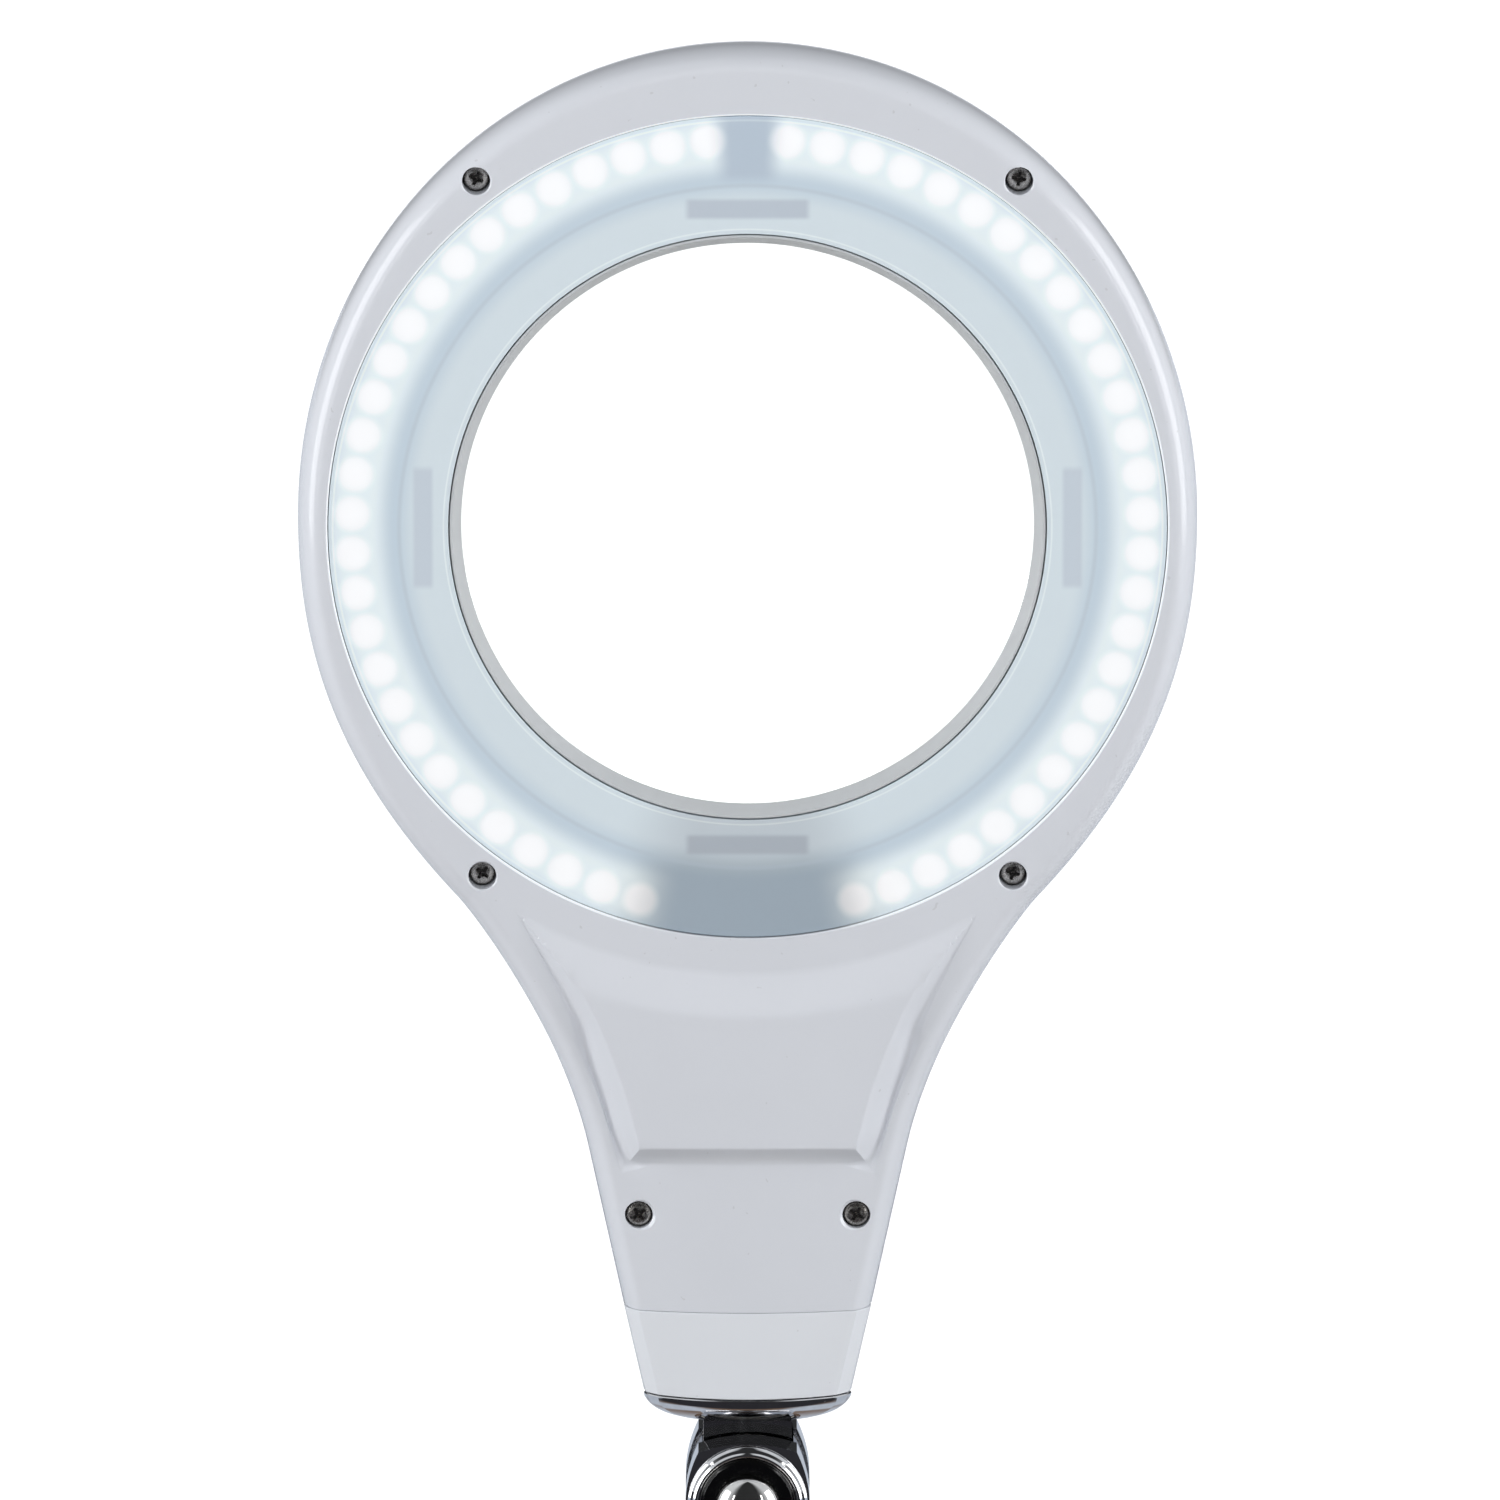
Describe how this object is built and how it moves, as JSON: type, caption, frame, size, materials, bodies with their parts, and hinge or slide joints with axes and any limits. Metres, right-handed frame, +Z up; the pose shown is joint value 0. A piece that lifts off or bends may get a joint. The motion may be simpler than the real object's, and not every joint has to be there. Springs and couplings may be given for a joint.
{
  "type": "LED magnifying lamp head",
  "caption": "Bench magnifying lamp head: large round lens inside a lit LED ring, white pear-shaped casing, and a chrome swivel and tilt knuckle with a pin for a lamp arm.",
  "frame": {"origin": "on the arm pin's axis, in the plane under the arm bush's flange, where it rests on the arm", "axes": "+Z up along the arm pin and the neck, towards the top of the lens ring; the LED side faces -Y, with the lens axis along Y; X is across the head"},
  "size_m": [0.1886, 0.0507, 0.3672],
  "materials": {
    "housing_white": "semi-gloss moulded white ABS",
    "collar_white": "semi-gloss moulded white ABS",
    "cover_clear": "clear moulded polycarbonate, lightly frosted inside",
    "reflector_white": "satin white, reflective",
    "led_board": "white solder mask with white LEDs lit",
    "lens_glass": "polished clear glass",
    "seat_grey": "satin grey",
    "casing_screw": "nickel-plated steel",
    "circuit_green": "solder mask with parts",
    "lead_red": "insulated lead",
    "switch_black": "satin black",
    "rocker_black": "semi-gloss black",
    "grommet_rubber": "matt black rubber",
    "chrome_bright": "bright chrome plate",
    "chrome_dark": "bright chrome plate, darker",
    "nylon_natural": "natural nylon",
    "plated_steel": "zinc plate",
    "disc_black": "satin black",
    "knob_black": "fine-textured black",
    "pin_steel": "ground steel",
    "clip_steel": "dark spring steel",
    "bush_nylon": "black nylon"
  },
  "bodies": {
    "arm_bush": {"arm_bush": "bush_nylon"},
    "knuckle": {"clevis": "chrome_bright", "boss_ring": "chrome_bright", "boss_disc": "disc_black", "cap_nut": "chrome_bright", "clamp_bolt": "plated_steel", "friction_washer_front": "nylon_natural", "friction_washer_rear": "nylon_natural", "arm_pin": "pin_steel", "pin_clip": "clip_steel"},
    "tongue": {"swivel_tongue": "chrome_dark", "spindle_washer": "nylon_natural", "spindle_nut": "plated_steel"},
    "head": {"front_bezel": "housing_white", "back_shell": "housing_white", "neck_collar": "collar_white", "led_cover": "cover_clear", "reflector_ring": "reflector_white", "led_board_left": "led_board", "led_board_right": "led_board", "lens": "lens_glass", "lens_seat_ring": "seat_grey", "casing_screw_top_left": "casing_screw", "casing_screw_top_right": "casing_screw", "casing_screw_side_left": "casing_screw", "casing_screw_side_right": "casing_screw", "casing_screw_neck_left": "casing_screw", "casing_screw_neck_right": "casing_screw", "driver_board": "circuit_green", "led_lead_left": "lead_red", "led_lead_right": "lead_red", "switch_body": "switch_black", "cable_grommet": "grommet_rubber", "swivel_cap": "chrome_bright"},
    "rocker": {"switch_rocker": "rocker_black"},
    "knob": {"tension_knob": "knob_black"}
  },
  "joints": [
    {"name": "arm_swivel", "type": "hinge", "parent": "arm_bush", "child": "knuckle", "pos_m": [0, 0, 0], "axis": [0, 0, 1], "range_deg": [-170, 170]},
    {"name": "head_tilt", "type": "hinge", "parent": "knuckle", "child": "tongue", "pos_m": [0, 0, 0.03], "axis": [0, 1, 0], "range_deg": [-90, 90]},
    {"name": "head_swivel", "type": "hinge", "parent": "tongue", "child": "head", "pos_m": [0, 0, 0.046], "axis": [0, 0, 1], "range_deg": [-165, 165]},
    {"name": "knob_turn", "type": "hinge", "parent": "knuckle", "child": "knob", "pos_m": [0, 0.02, 0.03], "axis": [0, 1, 0], "range_deg": [-360, 45]},
    {"name": "rocker_press", "type": "hinge", "parent": "head", "child": "rocker", "pos_m": [0, 0.0125, 0.1174], "axis": [1, 0, 0], "range_deg": [-16, 0]}
  ]
}
